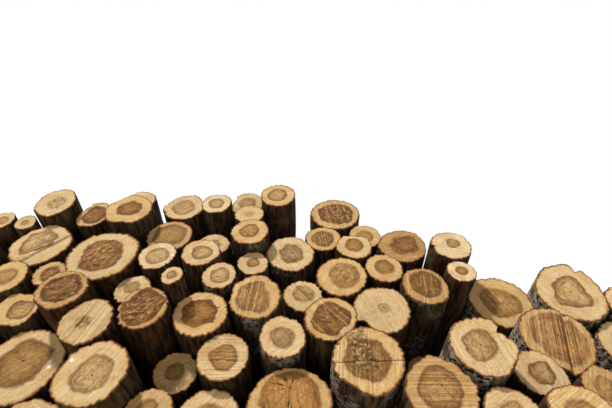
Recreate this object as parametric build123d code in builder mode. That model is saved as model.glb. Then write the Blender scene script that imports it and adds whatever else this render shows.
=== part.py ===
from build123d import *
import os
import random
from collections import namedtuple
from math import acos, atan2, ceil, cos, dist, pi, radians, sin, tan

# Heap of hardwood logs, butts to the front. Millimetres, X along the heap, Y away from the butts, Z up.

# Sizes of every log
LOG_LENGTH = 2500
LENGTH_SPREAD = 60
TAPER = 0.06
CLEARANCE = 0.6
OUT_OF_ROUND = 0.11
HOLLOW = 0.035
CUT_LEAN = 2.5
FACET_DEPTH = 2

# x and z of the middle of the butt, its diameter, and how far it stands out from the face of the heap.
# lies says where the log is found: HERE, at the place given, FITS, as thick as the gap at that place takes
# up to the diameter, or SINKS, from the place down until others carry it.
# bulges holds (direction in degrees, share of the radius) where a log is far from round.
# step is (direction in degrees, share of the radius) of the part of the butt that was sawn off lower, where
# the two cuts that felled the tree didn't meet.
HERE = "here"
FITS = "fits"
SINKS = "sinks"
Log = namedtuple("Log", "x z diameter reach lies bulges step", defaults=(0, HERE, (), None))
STEP_DEPTH = 22

GROUND_START = -3250
GROUND_DIAMETERS = (440, 470, 450, 500, 520, 490, 520, 480, 500, 460, 480, 450, 430)
ROW_REACH = (-30, 20, -10, 45, -40, 10, 30)


def ground_row():
    """Logs laid side by side on the ground, their butts uneven."""
    row = []
    edge = GROUND_START
    for number, diameter in enumerate(GROUND_DIAMETERS):
        reach = ROW_REACH[number % len(ROW_REACH)]
        row.append(Log(edge + diameter / 2, diameter / 2, diameter, reach))
        edge += diameter
    return row


COURSES = {
    "logs_course_01": ground_row(),
    "logs_course_02": [
        Log(-870, 640, 440, -40, FITS),
        Log(-380, 600, 400, 10, FITS),
        Log(190, 660, 420, -30, FITS),
        Log(620, 580, 400, 45, FITS),
        Log(1120, 580, 320, 0, FITS),
        Log(-1390, 620, 430, 20, FITS),
        Log(-1890, 600, 420, -35, FITS),
        Log(-2340, 600, 430, 30, FITS),
        Log(-2800, 560, 400, -15, FITS),
        Log(1580, 600, 420, 25, FITS),
        Log(2060, 600, 400, -40, FITS),
        Log(2510, 560, 380, 15, FITS),
        Log(-100, 640, 240, -20, FITS),
        Log(880, 640, 200, 30, FITS),
    ],
    "logs_course_03": [
        Log(-640, 915, 220, -20),
        Log(-395, 895, 275, -40),
        Log(-65, 950, 360, -30),
        Log(520, 925, 295, 125),
        Log(760, 835, 245, 110),
        Log(1005, 830, 265, 130),
        Log(1200, 960, 205, 70),
        Log(-1110, 880, 360, -50, FITS),
        Log(-1620, 960, 420, 10, FITS),
        Log(-2100, 950, 400, 35, FITS),
        Log(-2560, 960, 380, -25, SINKS),
        Log(1400, 1020, 360, -20, FITS),
        Log(1780, 960, 420, 20, FITS),
        Log(2230, 930, 380, -30, SINKS),
        Log(1310, 850, 200, -40, FITS),
    ],
    "logs_course_04": [
        Log(-1295, 1145, 390, -65, HERE, ((90, 0.97), (250, 0.94))),
        Log(-865, 1025, 295, 90),
        Log(-595, 1125, 215, -90),
        Log(-370, 1145, 245, 5, HERE, ((90, 1.07), (270, 1.05))),
        Log(260, 1082, 315, 100, HERE, ((275, 1.07), (315, 0.94))),
        Log(730, 1110, 280, 145, HERE, ((125, 1.06), (60, 1.08), (32, 0.86), (5, 1.03))),
        Log(990, 1060, 220, 25),
        Log(-1760, 1300, 400, -20, FITS),
        Log(-2240, 1300, 380, 15, SINKS),
        Log(1800, 1250, 300, -60, FITS),
        Log(500, 1210, 240, -450, FITS),
        Log(-690, 1220, 100, -450, FITS),
        Log(-1560, 1250, 160, -250, FITS),
    ],
    "logs_course_05": [
        Log(-995, 1265, 260, 95),
        Log(-765, 1340, 255, 90, HERE, ((225, 1.1), (95, 1.05))),
        Log(-510, 1355, 280, 30),
        Log(-105, 1225, 230, 30),
        Log(110, 1315, 265, 45),
        Log(1175, 1260, 344, -15, HERE, ((300, 1.05), (150, 1.04), (60, 0.95))),
        Log(1605, 1290, 300, -135),
        Log(630, 1360, 200, -450, FITS),
        Log(880, 1400, 300, -450, FITS),
        Log(1400, 1340, 140, -300, FITS),
    ],
    "logs_course_06": [
        Log(-1460, 1425, 225, -25, HERE, ((45, 0.94), (90, 0.85), (130, 0.92), (225, 0.92), (270, 0.88))),
        Log(-1175, 1425, 250, 120),
        Log(-655, 1485, 120, 150, HERE, ((90, 1.18), (270, 1.15))),
        Log(-255, 1450, 275, 40, HERE, ((180, 0.92), (135, 1.05), (90, 1.12), (0, 1.03))),
        Log(-15, 1515, 225, -35),
        Log(385, 1435, 300, -40, HERE, ((222, 0.84), (90, 0.94), (45, 1.03), (290, 0.9))),
        Log(-1320, 1540, 120, -250, FITS),
        Log(-1970, 1730, 440, -45, FITS),
    ],
    "logs_course_07": [
        Log(-1605, 1605, 230, 10, HERE, ((90, 1.1),)),
        Log(-1410, 1655, 190, -20),
        Log(-910, 1535, 200, -10),
        Log(-455, 1575, 190, 55),
        Log(635, 1565, 260, -15),
        Log(1090, 1585, 360, -165, HERE, ((140, 1.08), (80, 0.97), (30, 0.95))),
        Log(1450, 1590, 390, -100, HERE, ((25, 1.05), (58, 1.3), (95, 1.04), (135, 0.9))),
        Log(1770, 1520, 295, -125),
        Log(-690, 1640, 200, -300, FITS),
        Log(-160, 1640, 170, -250, FITS),
        Log(-330, 1625, 110, -300, FITS),
    ],
    "logs_course_08": [
        Log(-1140, 1740, 395, 35, HERE, ((35, 1.05), (95, 0.97), (180, 1.02))),
        Log(-835, 1750, 220, 25),
        Log(-578, 1727, 224, 70),
        Log(-440, 1800, 160, -400, FITS),
        Log(-305, 1752, 190, -40),
        Log(195, 1655, 300, -40),
        Log(445, 1725, 225, -50),
        Log(830, 1620, 165, 35),
        Log(-2100, 1950, 260, -10, SINKS),
    ],
    "logs_course_09": [
        Log(-1600, 1900, 350, -35, HERE, ((185, 1.05), (30, 1.03)), (-40, 0.3)),
        Log(-573, 1934, 206, -70),
        Log(-335, 1955, 235, 20),
        Log(-95, 1865, 305, -70, HERE, ((50, 1.08), (90, 1.22), (130, 1.1), (250, 1.12), (285, 1.22))),
        Log(290, 1890, 225, -35, HERE, ((90, 1.15),), (85, 0.6)),
        Log(595, 1930, 295, -75, HERE, ((180, 1.09), (135, 0.96), (45, 1.03))),
        Log(830, 1815, 240, 40, HERE, ((90, 0.9), (250, 0.94))),
        Log(90, 1800, 120, -250, FITS),
    ],
    "logs_course_10": [
        Log(-1935, 2080, 185),
        Log(-1780, 2080, 140, -15),
        Log(-855, 2005, 295, -60),
        Log(110, 2025, 245, -100),
        Log(385, 2080, 220, -130),
        Log(-1850, 1960, 200, -250, FITS),
        Log(-1320, 1980, 200, -250, FITS),
        Log(-100, 2100, 200, -250, FITS),
        Log(-520, 2060, 180, -250, FITS),
        Log(-660, 2090, 160, -250, FITS),
    ],
    "logs_course_11": [
        Log(-1660, 2235, 275, 20, HERE, ((60, 1.07), (90, 1.12), (120, 1.06), (0, 0.94), (180, 0.92))),
        Log(-1412, 2185, 230, -45, HERE, ((50, 1.12), (75, 1.2), (105, 1.2), (130, 1.12))),
        Log(-1130, 2145, 310, 40, HERE, ((130, 0.88), (90, 0.78), (45, 0.88), (230, 0.88), (270, 0.82))),
        Log(-830, 2280, 275, -50, HERE, ((105, 1.07), (75, 1.07), (190, 1.05), (140, 0.98))),
        Log(-590, 2235, 205, 15, HERE, ((90, 0.9), (270, 0.92))),
        Log(-370, 2160, 200, -15),
        Log(-185, 2285, 235, 45),
        Log(200, 2295, 350, -120),
    ],
    "logs_course_12": [
        Log(-1200, 2410, 255, -100),
        Log(-410, 2365, 235, -80, HERE, (), (195, 0.5)),
    ],
}

# How a log that isn't simply laid down finds its place: steps in many directions, halved until small
FIRST_STEP = 20
LAST_STEP = 0.1
DIRECTIONS = 96
SINKING = 0.002
SQUEEZING = 0.03


def room_at(place, placed):
    """Radius of the thickest log that fits at a place, above the ground and between the other logs."""
    return min([place[1]] + [dist(place, other) - radius for other, radius in placed])


def best_place(start, worth):
    """Where a log comes to, walking from the start to wherever it is worth more."""
    place = start
    step = FIRST_STEP
    while step > LAST_STEP:
        tries = []
        for number in range(DIRECTIONS):
            turn = 2 * pi * number / DIRECTIONS
            tries.append((place[0] + step * cos(turn), place[1] + step * sin(turn)))
        best = max(tries, key=worth)
        if worth(best) > worth(place):
            place = best
        else:
            step /= 2
    return place


def laid(logs):
    """Place and radius of each log. Those given a place come first, the others are laid in between."""
    placed = {}
    for index, log in enumerate(logs):
        if log.lies == HERE:
            placed[index] = ((log.x, log.z), log.diameter / 2)
    for index, log in enumerate(logs):
        if log.lies != HERE:
            others = list(placed.values())
            widest = log.diameter / 2

            def worth_of_fit(place):
                room = room_at(place, others)
                return room if room < widest else widest - SINKING * place[1]

            def worth_of_rest(place):
                return -SQUEEZING * place[1] - max(0, widest - room_at(place, others))

            if log.lies == FITS:
                place = best_place((log.x, log.z), worth_of_fit)
                placed[index] = (place, min(widest, room_at(place, others)))
            else:
                placed[index] = (best_place((log.x, log.z), worth_of_rest), widest)
    return [placed[index] for index in range(len(logs))]


# Shape of an outline: how far apart its bulges are, how near a touch one may be, how near a neighbour is
# as a share of their radii, how much of the room beside one is used, and up to what turn that counts
BULGE_SPACING = radians(45)
CLOSEST_KEYS = radians(16)
NEARBY = 1.35
ROOM = 0.99
WIDEST_VIEW = radians(75)


def turn_between(first, second):
    """Angle from the first direction on to the second, from 0 to a full turn."""
    return (second - first) % (2 * pi)


def turn_apart(first, second):
    """Angle between two directions, whichever way round is shorter."""
    return min(turn_between(first, second), turn_between(second, first))


def walls_round(index, placed):
    """(direction, distance, touched) of the planes that part a log from its neighbours and the ground."""
    place, radius = placed[index]
    walls = []
    for other, (other_place, other_radius) in enumerate(placed):
        both = radius + other_radius
        distance = dist(place, other_place)
        if other != index and distance < NEARBY * both:
            direction = atan2(other_place[1] - place[1], other_place[0] - place[0])
            touched = distance <= (1 + OUT_OF_ROUND) * both
            walls.append((direction % (2 * pi), distance * radius / both - CLEARANCE / 2, touched))
    on_the_ground = place[1] <= (1 + OUT_OF_ROUND) * radius
    if on_the_ground:
        walls.append((1.5 * pi, place[1], True))
    return sorted(walls)


def room_for(radius, direction, walls):
    """The radius, or as much of it as stays clear of the neighbours in that direction."""
    for wall, distance, touches in walls:
        turn = turn_apart(direction, wall)
        if touches:
            radius = min(radius, distance * (1 + 2 * (turn / pi) ** 2))
        if turn < WIDEST_VIEW:
            radius = min(radius, ROOM * distance / cos(turn))
    return radius


def reach_to(wall, walls):
    """How far a log reaches towards a neighbour that it touches, unless another one stands in the way."""
    direction, distance, touches = wall
    for other in walls:
        turn = turn_apart(direction, other[0])
        if other is not wall and turn < WIDEST_VIEW:
            distance = min(distance, ROOM * other[1] / cos(turn))
    return distance


def outline_keys(index, log, placed):
    """(direction, radius) of the places that give a log its outline, in order round it."""
    place, radius = placed[index]
    chance = random.Random(index)
    walls = walls_round(index, placed)
    touched = [(wall[0], reach_to(wall, walls)) for wall in walls if wall[2]] or [(0, radius)]
    own_bulges = []
    for bulge, share in log.bulges:
        here = radians(bulge) % (2 * pi)
        if all(turn_apart(here, direction) > CLOSEST_KEYS for direction, distance in touched):
            own_bulges.append((here, share))
    keys = list(touched)
    for number, (direction, distance) in enumerate(touched):
        following = touched[(number + 1) % len(touched)][0]
        gap = turn_between(direction, following) or 2 * pi
        between = max(1, round(gap / BULGE_SPACING) - 1)
        for number_between in range(1, between + 1):
            here = (direction + gap * number_between / (between + 1)) % (2 * pi)
            share = 1 - HOLLOW * chance.random()
            if all(turn_apart(here, bulge) > BULGE_SPACING / 2 for bulge, bulge_share in own_bulges):
                keys.append((here, room_for(radius * share, here, walls)))
    for here, share in own_bulges:
        keys.append((here, room_for(radius * share, here, walls)))
    return sorted(keys)


def outline(keys, radius):
    """(direction, radius) of the corners of a log: its keys, and as many between them as keep it round."""
    widest_turn = 2 * acos(1 - min(1, FACET_DEPTH / radius))
    corners = []
    for key, following in zip(keys, keys[1:] + keys[:1]):
        gap = turn_between(key[0], following[0])
        facets = ceil(gap / widest_turn)
        for facet in range(facets):
            blend = (1 - cos(pi * facet / facets)) / 2
            corners.append((key[0] + gap * facet / facets, key[1] + (following[1] - key[1]) * blend))
    return corners


def saw_cut(depth, place, chance):
    """Plane of a sawn end, leaning a little, that looks out of the front of the heap."""
    lean_x = tan(radians(CUT_LEAN)) * chance.uniform(-1, 1)
    lean_z = tan(radians(CUT_LEAN)) * chance.uniform(-1, 1)
    thickness_left = 1 - TAPER * depth / LOG_LENGTH
    middle = (place[0] * thickness_left, depth, place[1] * thickness_left)
    return Plane(origin=middle, x_dir=(1, lean_x, 0), z_dir=(lean_x, -1, lean_z))


def sawn_outline(cut, place, corners):
    """Where the saw cut meets the edges of a log, which taper towards one point behind the heap."""
    tip = Vector(0, LOG_LENGTH / TAPER, 0)
    points = []
    for direction, radius in corners:
        butt = Vector(place[0] + radius * cos(direction), 0, place[1] + radius * sin(direction))
        edge = tip - butt
        along = (cut.origin - butt).dot(cut.z_dir) / edge.dot(cut.z_dir)
        points.append(cut.to_local_coords(butt + edge * along))
    return points


FIRST_CUT_SEED = 1000


def build_log(index, log, place, corners):
    """One log: a loft from the outline of its butt to that of its top end, and the step of its butt."""
    chance = random.Random(FIRST_CUT_SEED + index)
    butt = saw_cut(-log.reach, place, chance)
    length = LOG_LENGTH + LENGTH_SPREAD / 2 * chance.uniform(-1, 1)
    top = saw_cut(length - log.reach, place, chance)
    with BuildPart() as one_log:
        for cut in (butt, top):
            with BuildSketch(cut):
                with BuildLine():
                    Polyline(*sawn_outline(cut, place, corners), close=True)
                make_face()
        loft(ruled=True)
        if log.step:
            direction, share = log.step
            sill = log.diameter / 2 * share
            middle_of_sill = (sill * cos(radians(direction)), sill * sin(radians(direction)))
            with BuildSketch(butt):
                with Locations(Location(middle_of_sill, direction)):
                    Rectangle(log.diameter, 2 * log.diameter, align=(Align.MIN, Align.CENTER))
            extrude(amount=-STEP_DEPTH, mode=Mode.SUBTRACT)
    return one_log.part


def build_courses():
    """One part for each course, its logs side by side without touching."""
    logs = [log for course in COURSES.values() for log in course]
    placed = laid(logs)
    parts = []
    first = 0
    for name, course in COURSES.items():
        pieces = []
        for index, log in enumerate(course, first):
            place, radius = placed[index]
            corners = outline(outline_keys(index, log, placed), radius)
            pieces.append(build_log(index, log, place, corners))
        with BuildPart() as course_of_logs:
            add(pieces)
        course_of_logs.part.label = name
        parts.append(course_of_logs.part)
        first += len(course)
    return parts


parts = build_courses()
box = Compound(parts).bounding_box()
to_origin = Location((-box.center().X, -box.center().Y, -box.min.Z))
os.makedirs("parts", exist_ok=True)
for part in parts:
    part.move(to_origin)
    export_step(part, f"parts/{part.label}.step")
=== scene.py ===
import bpy
import random
from bisect import bisect_right
from collections import defaultdict, namedtuple
from math import atan2, cos, hypot, pi, radians, sin
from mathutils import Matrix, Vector
from mathutils.geometry import delaunay_2d_cdt
from mathutils.kdtree import KDTree
from mathutils.noise import noise


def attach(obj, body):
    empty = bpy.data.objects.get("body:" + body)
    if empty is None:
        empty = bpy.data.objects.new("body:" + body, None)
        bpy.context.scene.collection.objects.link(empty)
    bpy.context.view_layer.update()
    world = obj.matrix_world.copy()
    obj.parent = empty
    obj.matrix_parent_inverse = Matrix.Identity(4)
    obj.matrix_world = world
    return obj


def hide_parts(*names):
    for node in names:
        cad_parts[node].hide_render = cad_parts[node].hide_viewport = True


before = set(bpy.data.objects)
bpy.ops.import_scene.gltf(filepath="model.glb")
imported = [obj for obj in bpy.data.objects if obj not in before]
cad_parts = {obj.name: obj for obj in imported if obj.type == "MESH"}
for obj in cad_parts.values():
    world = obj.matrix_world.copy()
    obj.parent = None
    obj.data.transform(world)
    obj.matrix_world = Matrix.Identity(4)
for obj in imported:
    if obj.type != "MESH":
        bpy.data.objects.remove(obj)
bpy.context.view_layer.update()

# Millimetres of the part's source to metres of the frame, and where the part's own origin lies in the frame
MM = 0.001
SHIFT = Vector((0.1530, -1.4070, 0.0))
SCREEN_GAMMA = 2.2


def tint(red, green, blue):
    """Shader colour of a screen colour from 0 to 255."""
    return tuple((part / 255) ** SCREEN_GAMMA for part in (red, green, blue)) + (1.0,)


# What each photographed end looks like. x, z: middle of the butt in mm; heart: share of the radius that is
# heartwood; pith: where it lies off the middle, in PITH_REACH of the radius; tone, sap, bark: colour names;
# saw: direction of the saw marks in degrees; depth: how strong they are; ring: how dark the heartwood's edge
# is; rough: how torn the heartwood is; wobble: how far from round it is; star: cracks that start at the pith
Look = namedtuple(
    "Look",
    "x z heart pith tone sap saw depth ring rough bark wobble star",
    defaults=(0.4, (0, 0), "tan", "cream", 90, 0.4, 0.5, 0.2, "grey", 0.16, 0.3),
)
PITH_REACH = 0.6
TONES = {
    "none": tint(214, 178, 122),
    "pale": tint(202, 164, 108),
    "tan": tint(190, 146, 88),
    "orange": tint(186, 130, 66),
    "ochre": tint(176, 128, 62),
    "olive": tint(160, 122, 68),
    "brown": tint(150, 98, 44),
    "dark": tint(116, 72, 30),
    "grey": tint(172, 140, 96),
}
SAPS = {
    "cream": tint(217, 186, 134),
    "white": tint(230, 206, 158),
    "yellow": tint(213, 174, 112),
    "straw": tint(202, 162, 100),
    "tan": tint(190, 146, 88),
    # A darker sap for ends that lie in the shadow of other logs: painted shade
    "shade": tint(184, 150, 96),
    "brown": tint(166, 116, 60),
}
BARKS = {
    "grey": tint(76, 58, 40),
    "brown": tint(80, 52, 28),
    "mottled": tint(82, 68, 50),
    "white": tint(102, 88, 70),
}
# How much of a bark's white and black shows, where it has any
BIRCH = {"mottled": 0.4, "white": 1.0}
LOOKS = [
    Look(-1935, 2080, 0.5, (0.2, 0), "tan", "cream", 40, 0.3),
    Look(-1780, 2080, 0.35, (-0.1, 0), "tan", "cream", 20, 0.2),
    Look(-1660, 2235, 0.42, (0.2, -0.1), "none", "cream", 25, 0.25, 0.35, 0.2, "grey", 0.3, 1),
    Look(-1412, 2180, 0.72, (0.1, -0.1), "dark", "straw", 60, 0.3, 1, 0.5),
    Look(-1200, 2410, 0.4, (0, 0), "tan", "cream", 20, 0.2),
    Look(-1130, 2145, 0.5, (0.05, 0.15), "brown", "yellow", 15, 0.4, 1.2, 0.4),
    Look(-830, 2280, 0.55, (-0.1, -0.1), "pale", "cream", 35, 0.5, 0.5),
    Look(-590, 2235, 0.5, (-0.15, 0.1), "none", "white", 10, 0.3, 0.9),
    Look(-410, 2365, 0.5, (0.1, 0), "pale", "cream", 0, 0.4),
    Look(-370, 2160, 0.3, (0, 0), "none", "cream", 0, 0.2, 0.1),
    Look(-185, 2285, 0.55, (-0.15, 0.05), "pale", "yellow", 0, 0.2, 1),
    Look(200, 2295, 0.68, (0.25, 0.05), "brown", "straw", 100, 0.9, 1.2, 0.9),
    Look(385, 2080, 0.5, (0, 0), "tan", "yellow", 170, 0.3, 0.5),
    Look(110, 2025, 0.6, (-0.05, 0.05), "olive", "yellow", 95, 0.9, 0.9, 0.5),
    Look(290, 1890, 0.5, (0.1, 0.1), "ochre", "cream", 150, 0.3, 0.7),
    Look(595, 1930, 0.6, (0.35, 0.1), "dark", "brown", 20, 0.3, 0.2, 0.4, "grey", 0.35, 0),
    Look(830, 1815, 0.32, (0.25, 0.3), "pale", "white", 170, 0.5, 0.7),
    Look(830, 1620, 0.4, (0.15, 0.25), "ochre", "white", 150, 0.2, 1),
    # Its sap is darker for an end in shadow: painted shade
    Look(-855, 2005, 0.72, (0.05, 0.2), "olive", "shade", 45, 0.3, 0.7, 0.3),
    Look(-835, 1750, 0.58, (0.05, 0), "none", "white", 20, 0.2, 0.7),
    Look(-655, 1485, 0.45, (-0.05, 0.2), "tan", "cream", 30, 0.2, 0.7),
    Look(-578, 1727, 0.5, (0.3, -0.1), "none", "cream", 50, 0.6, 1, 0.2, "mottled"),
    Look(-573, 1934, 0.4, (0.1, 0), "pale", "cream", 40, 0.7, 0.3),
    Look(-335, 1955, 0.5, (0, 0.25), "tan", "yellow", 0, 0.3, 1, 0.2, "mottled"),
    Look(-305, 1752, 0.38, (0, 0.1), "tan", "cream", 0, 0.2, 0.9, 0.2, "mottled"),
    Look(-455, 1575, 0.55, (0.05, -0.1), "none", "cream", 20, 0.3, 0.8, 0.2, "mottled"),
    Look(-95, 1865, 0.5, (0.2, -0.05), "grey", "cream", 120, 0.4, 0.7, 0.6, "mottled", 0.3),
    Look(195, 1655, 0.6, (0.4, 0.1), "tan", "yellow", 60, 0.5, 0.5, 0.5),
    Look(445, 1725, 0.5, (-0.05, 0.1), "olive", "yellow", 160, 0.3, 0.7),
    Look(635, 1565, 0.66, (0.1, 0.2), "brown", "tan", 84, 1, 0.9, 0.5, "mottled", 0.2),
    Look(-1600, 1900, 0.55, (-0.35, 0.4), "none", "cream", 40, 0.5, 1, 0.1, "brown", 0.3),
    Look(-1140, 1740, 0.6, (-0.05, 0.2), "ochre", "cream", 60, 0.6, 1, 0.9, "brown", 0.25),
    Look(-1605, 1605, 0.5, (0, 0), "tan", "yellow", 30, 0.3),
    Look(-1410, 1655, 0.55, (0, 0), "brown", "straw", 50, 0.6, 0.5, 0.8),
    Look(-1175, 1425, 0.72, (-0.2, 0.1), "dark", "tan", 60, 0.6, 1, 0.9, "brown"),
    Look(-910, 1535, 0.4, (-0.2, 0.3), "pale", "cream", 40, 0.3, 0.5),
    Look(-765, 1340, 0.8, (-0.05, 0.1), "brown", "tan", 55, 0.6, 1.3, 1, "brown", 0.25),
    Look(-255, 1450, 0.66, (-0.3, -0.05), "tan", "yellow", 85, 0.9, 0.6, 0.4, "mottled", 0.3),
    Look(-15, 1515, 0.5, (0.15, 0.4), "pale", "cream", 130, 0.6, 0.4, 0.5, "grey", 0.25),
    Look(-1460, 1425, 0.55, (0.7, 0), "pale", "yellow", 20, 0.4, 1),
    Look(-995, 1265, 0.26, (-0.05, 0), "pale", "cream", 74, 1.7, 0, 0.5),
    Look(-510, 1355, 0.6, (0, 0.05), "brown", "yellow", 30, 0.3, 1.4, 0.4, "grey", 0.15),
    Look(110, 1315, 0.7, (0.1, -0.05), "brown", "yellow", 130, 0.9, 1.2, 0.8, "grey", 0.2),
    Look(385, 1435, 0.2, (0.1, 0.1), "none", "cream", 110, 0.4, 0.2),
    Look(-105, 1225, 0.5, (0, -0.05), "grey", "cream", 30, 0.3, 0.5, 0.1, "mottled"),
    Look(-1295, 1145, 0.62, (0.05, 0.1), "olive", "cream", 40, 0.4, 0.8),
    Look(-865, 1025, 0.55, (0.15, -0.1), "none", "cream", 60, 0.3, 0.7),
    # Its sap is darker for an end in shadow: painted shade
    Look(-595, 1125, 0.4, (0, 0.1), "olive", "shade", 30, 0.2, 0.6),
    Look(-370, 1145, 0.52, (0.05, -0.05), "tan", "cream", 0, 0.8, 0.8, 0.2, "brown"),
    Look(260, 1082, 0.62, (-0.05, 0.05), "olive", "yellow", 84, 0.6, 0.8, 0.4, "mottled", 0.2),
    Look(-65, 950, 0.72, (-0.15, 0.7), "orange", "straw", 100, 0.35, 0.6, 0.3, "brown", 0.15, 1),
    Look(-395, 895, 0.5, saw=60, depth=0.3),
    # Its sap is darker for an end in shadow: painted shade
    Look(-640, 915, 0.5, (0, 0), "olive", "shade", 60, 0.2),
    Look(1090, 1585, 0.58, (0.05, -0.05), "tan", "yellow", 110, 0.6, 0.8, 0.4, "white", 0.2),
    Look(1450, 1590, 0.54, (-0.05, 0.05), "none", "cream", 110, 0.3, 1.1, 0.2, "white", 0.3),
    Look(730, 1110, 0.5, (-0.1, -0.05), "pale", "cream", 100, 0.4, 0.8, 0.2, "white", 0.25),
    Look(1175, 1260, 0.72, (0.1, 0.15), "tan", "straw", 73, 1, 0.5, 0.25, "white", 0.2),
    Look(990, 1060, 0.5, (0.1, 0.1), "pale", "cream", 96, 0.7, 1.1, 0.1, "grey", 0.25),
    Look(520, 925, 0.6, (0.05, 0.25), "tan", "tan", 0, 0.6, 1),
    Look(1200, 960, 0.5, (0, 0), "tan", "tan", 60, 0.5),
    Look(1605, 1290, 0.5, depth=0.3, bark="white"),
    Look(1770, 1520, 0.5, depth=0.3, bark="white"),
    Look(1005, 830, 0.5, (0, 0), "tan", "yellow", 30, 0.4),
    Look(760, 835, 0.5, (0, 0), "pale", "cream", 30, 0.4),
]
# What an end that the photo doesn't show may look like
UNSEEN_TONES = ["tan", "olive", "pale", "ochre", "brown"]
UNSEEN_SAPS = ["cream", "yellow", "cream", "straw"]
UNSEEN_BARKS = ["grey", "brown", "grey", "white"]
UNSEEN_HEARTS = (0.35, 0.65)
UNSEEN_MARKS = {"depth": 0.5, "ring": 0.7, "rough": 0.3}
# In metres: how near the middle of an end the place of its look, strip, chip or spot is
NEAR_ENOUGH = 0.07

# Where the face of an end isn't flat: a strip across it, from one share of the radius to another in a
# direction (degrees), so many mm deeper or, below 0, raised, torn or smooth, and from where to where along it
Strip = namedtuple("Strip", "x z direction start end depth torn low high", defaults=(0, -2, 2))
STRIPS = [
    Strip(-1600, 1900, -40, 0.3, 2, 8),
    Strip(290, 1890, 85, 0.6, 2, 22),
    Strip(-410, 2365, 195, 0.5, 2, 20),
    Strip(260, 1082, 14, -0.36, 0.2, -9, 1.0, -0.42, 1.2),
    Strip(260, 1082, 92, -0.13, -0.1, 12),
    Strip(1175, 1260, -18, 0.2, 0.36, 14, 0.3),
    Strip(635, 1565, 0, 0.1, 0.2, 9, 0.5, -0.5, 0.7),
    Strip(200, 2295, 30, -0.15, 0.25, -6, 0.8, -0.5, 0.5),
    Strip(-95, 1865, 35, 0.5, 0.56, 8, 0.2, -0.3, 0.35),
    Strip(195, 1655, 150, 0.45, 2, 9),
    Strip(110, 1315, 40, 0.1, 0.2, 7, 0.8, -0.5, 0.5),
    Strip(-830, 2280, 125, 0.66, 2, 9),
    Strip(-1412, 2185, 180, 0.45, 2, 14),
]

# Chips broken out of the rim, with the direction and the half width in degrees and the depth in mm
Chip = namedtuple("Chip", "x z direction width depth")
CHIPS = [
    Chip(1450, 1590, 58, 9, 55),
    Chip(730, 1110, 34, 7, 26),
    Chip(730, 1110, 12, 5, 12),
    Chip(385, 1435, 222, 16, 10),
    Chip(-1140, 1740, 215, 8, 12),
    Chip(-1140, 1740, 245, 7, 10),
    Chip(-765, 1340, 165, 7, 12),
    Chip(-765, 1340, 195, 6, 8),
    Chip(-1600, 1900, 205, 8, 12),
    Chip(830, 1815, 185, 8, 12),
    Chip(-830, 2280, 165, 7, 14),
    Chip(-830, 2280, 205, 9, 14),
    Chip(-255, 1450, 172, 8, 10),
    Chip(-255, 1450, 48, 5, 10),
    Chip(260, 1082, 150, 5, 10),
    Chip(1090, 1585, 100, 6, 12),
    Chip(-105, 1225, 70, 5, 6),
    Chip(-1295, 1145, 100, 5, 8),
    Chip(-865, 1025, 112, 6, 10),
]

# Small knots (dark) and light flecks, painted glints of bare splinters, beside the heartwood: where they lie
# off the middle in shares of the radius, their size in mm, and 1 for dark, -1 for light
Spot = namedtuple("Spot", "x z right up size sign")
SPOTS = [
    Spot(-510, 1355, 0.67, 0.23, 8, 1),
    Spot(-510, 1355, 0.57, -0.38, 7, 1),
    # Light flecks: painted highlights
    Spot(-1295, 1145, 0.72, -0.1, 15, -1),
    Spot(-865, 1025, -0.66, 0.37, 15, -1),
    Spot(-595, 1125, 0.27, -0.7, 8, -1),
    Spot(-835, 1750, 0.74, 0.05, 11, -1),
    Spot(-1660, 2235, 0.2, 0.25, 8, 1),
    Spot(830, 1815, -0.5, -0.2, 6, 1),
]


def near(mark, x, z):
    """Whether a mark of the lists above belongs to the end whose middle is here."""
    return hypot(mark.x * MM - x, mark.z * MM - z) < NEAR_ENOUGH


def chosen_look(x, z, chance):
    """(look, whether the photo shows it) of the end that is here. An unseen end gets any look."""
    found = [look for look in LOOKS if near(look, x, z)]
    if found:
        return found[0], True
    tone = chance.choice(UNSEEN_TONES)
    sap = chance.choice(UNSEEN_SAPS)
    bark = chance.choice(UNSEEN_BARKS)
    heart = chance.uniform(*UNSEEN_HEARTS)
    saw = chance.uniform(0, 180)
    return Look(0, 0, heart, (0, 0), tone, sap, saw, bark=bark, **UNSEEN_MARKS), False


# Corners of the frame's mesh that are this near each other, in metres, are one
SAME_CORNER = 0.0002


def islands(mesh_object):
    """The separate logs of one frame node, each as a list of its corners."""
    vertices = [vertex.co.copy() for vertex in mesh_object.data.vertices]
    tree = KDTree(len(vertices))
    for index, point in enumerate(vertices):
        tree.insert(point, index)
    tree.balance()
    corners = []
    alias = [None] * len(vertices)
    for index, point in enumerate(vertices):
        if alias[index] is None:
            for _, other, _ in tree.find_range(point, SAME_CORNER):
                alias[other] = len(corners)
            corners.append(point)
    leader = list(range(len(corners)))

    def found(number):
        while leader[number] != number:
            leader[number] = leader[leader[number]]
            number = leader[number]
        return number

    for polygon in mesh_object.data.polygons:
        first = found(alias[polygon.vertices[0]])
        for other in polygon.vertices[1:]:
            leader[found(alias[other])] = first
    groups = {}
    for number, point in enumerate(corners):
        groups.setdefault(found(number), []).append(point)
    return list(groups.values())


# Lengths and cross products below these count as none
NO_LENGTH = 1e-6
NO_CROSSING = 1e-12


def clamped(value):
    """The value, held between 0 and 1."""
    return min(1, max(0, value))


def half_turned(angle):
    """The same direction as an angle from minus to plus half a turn."""
    return (angle + pi) % (2 * pi) - pi


def middle_of(points):
    """Middle of a list of points."""
    return sum(points, Vector()) / len(points)


def flat(point):
    """A point, seen along Y."""
    return Vector((point.x, point.z))


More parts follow.
